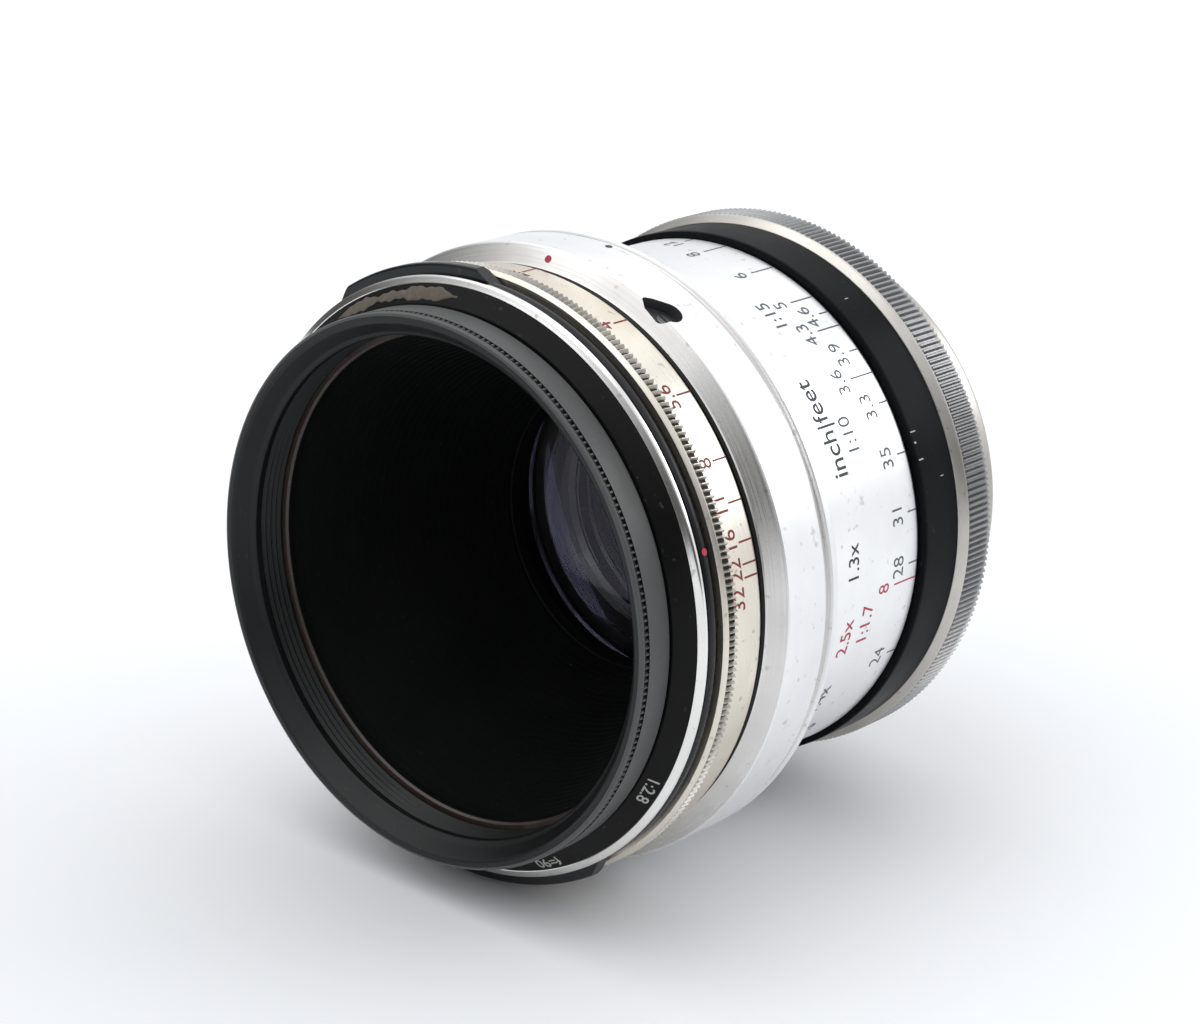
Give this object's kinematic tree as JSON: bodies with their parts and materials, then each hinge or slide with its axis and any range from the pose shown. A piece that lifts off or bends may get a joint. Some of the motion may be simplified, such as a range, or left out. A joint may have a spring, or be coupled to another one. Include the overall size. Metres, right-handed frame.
{
  "type": "prime camera lens",
  "caption": "Preset macro camera lens with a two-stage helicoid, turning focus scale, preset and stop-down rings, and a working iris.",
  "frame": {"origin": "centre of the mounting face that seats on the camera", "axes": "-Y along the lens axis towards the subject, +Z towards the aperture index, +X to the right seen from the front"},
  "size_m": [0.0688, 0.0705, 0.0688],
  "materials": {
    "nickel": "satin nickel plate",
    "nickel_ring": "satin warm nickel plate",
    "black_paint": "semi-gloss black lacquer",
    "brass_thread": "machined brass",
    "satin_aluminium": "satin silver anodised",
    "steel_screw": "turned steel",
    "black_anodised": "matte black anodised",
    "polished_chrome": "polished",
    "matte_black": "flat black paint",
    "coated_glass": "single coated",
    "blade_steel": "blackened spring steel"
  },
  "bodies": {
    "base": {"mount_adapter": "nickel", "clamp_ring": "nickel", "base_barrel": "black_paint", "base_helicoid": "brass_thread", "rear_baffle": "black_paint"},
    "guide": {"guide_ring": "brass_thread", "guide_bars": "brass_thread"},
    "focus_sleeve": {"scale_tube": "satin_aluminium", "middle_helicoid": "brass_thread", "sleeve_screws": "steel_screw"},
    "head": {"step_ring": "black_anodised", "name_ring": "black_paint", "trim_ring": "polished_chrome", "front_barrel": "black_paint", "click_ball": "steel_screw", "hood_cone": "matte_black", "index_band": "satin_aluminium", "band_screw": "steel_screw", "head_helicoid": "satin_aluminium", "optic_carrier": "black_paint", "carrier_lock_ring": "black_paint", "front_cell": "black_paint", "front_bezel": "black_paint", "front_element": "coated_glass", "middle_element": "coated_glass", "middle_retainer": "black_paint", "rear_cell": "black_paint", "rear_negative": "coated_glass", "rear_positive": "coated_glass", "rear_retainer": "black_paint", "iris_housing": "black_paint"},
    "preset": {"preset_ring": "nickel_ring"},
    "stop_down": {"stop_down_ring": "black_anodised", "stop_down_screw": "steel_screw", "iris_drive_sleeve": "brass_thread", "iris_drive_pin": "steel_screw", "iris_drive_ring": "brass_thread"},
    "blade_01": {"iris_blade_01": "blade_steel"},
    "blade_02": {"iris_blade_02": "blade_steel"},
    "blade_03": {"iris_blade_03": "blade_steel"},
    "blade_04": {"iris_blade_04": "blade_steel"},
    "blade_05": {"iris_blade_05": "blade_steel"},
    "blade_06": {"iris_blade_06": "blade_steel"},
    "blade_07": {"iris_blade_07": "blade_steel"},
    "blade_08": {"iris_blade_08": "blade_steel"},
    "blade_09": {"iris_blade_09": "blade_steel"},
    "blade_10": {"iris_blade_10": "blade_steel"}
  },
  "joints": [
    {"name": "guide_travel", "type": "slide", "parent": "base", "child": "guide", "axis": [0, -1, 0], "range_m": [0, 0.022]},
    {"name": "focus_turn", "type": "hinge", "parent": "guide", "child": "focus_sleeve", "pos_m": [0, -0.03, 0], "axis": [0, -1, 0], "range_deg": [0, 465]},
    {"name": "head_travel", "type": "slide", "parent": "guide", "child": "head", "axis": [0, -1, 0], "range_m": [0, 0.031]},
    {"name": "preset_turn", "type": "hinge", "parent": "head", "child": "preset", "pos_m": [0, -0.0535, 0], "axis": [0, -1, 0], "range_deg": [0, 76]},
    {"name": "stop_down_turn", "type": "hinge", "parent": "head", "child": "stop_down", "pos_m": [0, -0.058, 0], "axis": [0, -1, 0], "range_deg": [0, 76]},
    {"name": "blade_01_pivot", "type": "hinge", "parent": "head", "child": "blade_01", "pos_m": [0, -0.0225, 0.0191], "axis": [0, -1, 0], "range_deg": [0, 39.5]},
    {"name": "blade_02_pivot", "type": "hinge", "parent": "head", "child": "blade_02", "pos_m": [0.01123, -0.0225, 0.01545], "axis": [0, -1, 0], "range_deg": [0, 39.5]},
    {"name": "blade_03_pivot", "type": "hinge", "parent": "head", "child": "blade_03", "pos_m": [0.01817, -0.0225, 0.0059], "axis": [0, -1, 0], "range_deg": [0, 39.5]},
    {"name": "blade_04_pivot", "type": "hinge", "parent": "head", "child": "blade_04", "pos_m": [0.01817, -0.0225, -0.0059], "axis": [0, -1, 0], "range_deg": [0, 39.5]},
    {"name": "blade_05_pivot", "type": "hinge", "parent": "head", "child": "blade_05", "pos_m": [0.01123, -0.0225, -0.01545], "axis": [0, -1, 0], "range_deg": [0, 39.5]},
    {"name": "blade_06_pivot", "type": "hinge", "parent": "head", "child": "blade_06", "pos_m": [0, -0.0225, -0.0191], "axis": [0, -1, 0], "range_deg": [0, 39.5]},
    {"name": "blade_07_pivot", "type": "hinge", "parent": "head", "child": "blade_07", "pos_m": [-0.01123, -0.0225, -0.01545], "axis": [0, -1, 0], "range_deg": [0, 39.5]},
    {"name": "blade_08_pivot", "type": "hinge", "parent": "head", "child": "blade_08", "pos_m": [-0.01817, -0.0225, -0.0059], "axis": [0, -1, 0], "range_deg": [0, 39.5]},
    {"name": "blade_09_pivot", "type": "hinge", "parent": "head", "child": "blade_09", "pos_m": [-0.01817, -0.0225, 0.0059], "axis": [0, -1, 0], "range_deg": [0, 39.5]},
    {"name": "blade_10_pivot", "type": "hinge", "parent": "head", "child": "blade_10", "pos_m": [-0.01123, -0.0225, 0.01545], "axis": [0, -1, 0], "range_deg": [0, 39.5]}
  ],
  "couplings": [
    {"joint": "guide_travel", "follows": "focus_turn", "m_per_rad": 0.0027107},
    {"joint": "head_travel", "follows": "focus_turn", "m_per_rad": 0.0038197},
    {"joint": "blade_01_pivot", "follows": "stop_down_turn", "ratio": 0.5197},
    {"joint": "blade_02_pivot", "follows": "stop_down_turn", "ratio": 0.5197},
    {"joint": "blade_03_pivot", "follows": "stop_down_turn", "ratio": 0.5197},
    {"joint": "blade_04_pivot", "follows": "stop_down_turn", "ratio": 0.5197},
    {"joint": "blade_05_pivot", "follows": "stop_down_turn", "ratio": 0.5197},
    {"joint": "blade_06_pivot", "follows": "stop_down_turn", "ratio": 0.5197},
    {"joint": "blade_07_pivot", "follows": "stop_down_turn", "ratio": 0.5197},
    {"joint": "blade_08_pivot", "follows": "stop_down_turn", "ratio": 0.5197},
    {"joint": "blade_09_pivot", "follows": "stop_down_turn", "ratio": 0.5197},
    {"joint": "blade_10_pivot", "follows": "stop_down_turn", "ratio": 0.5197}
  ]
}
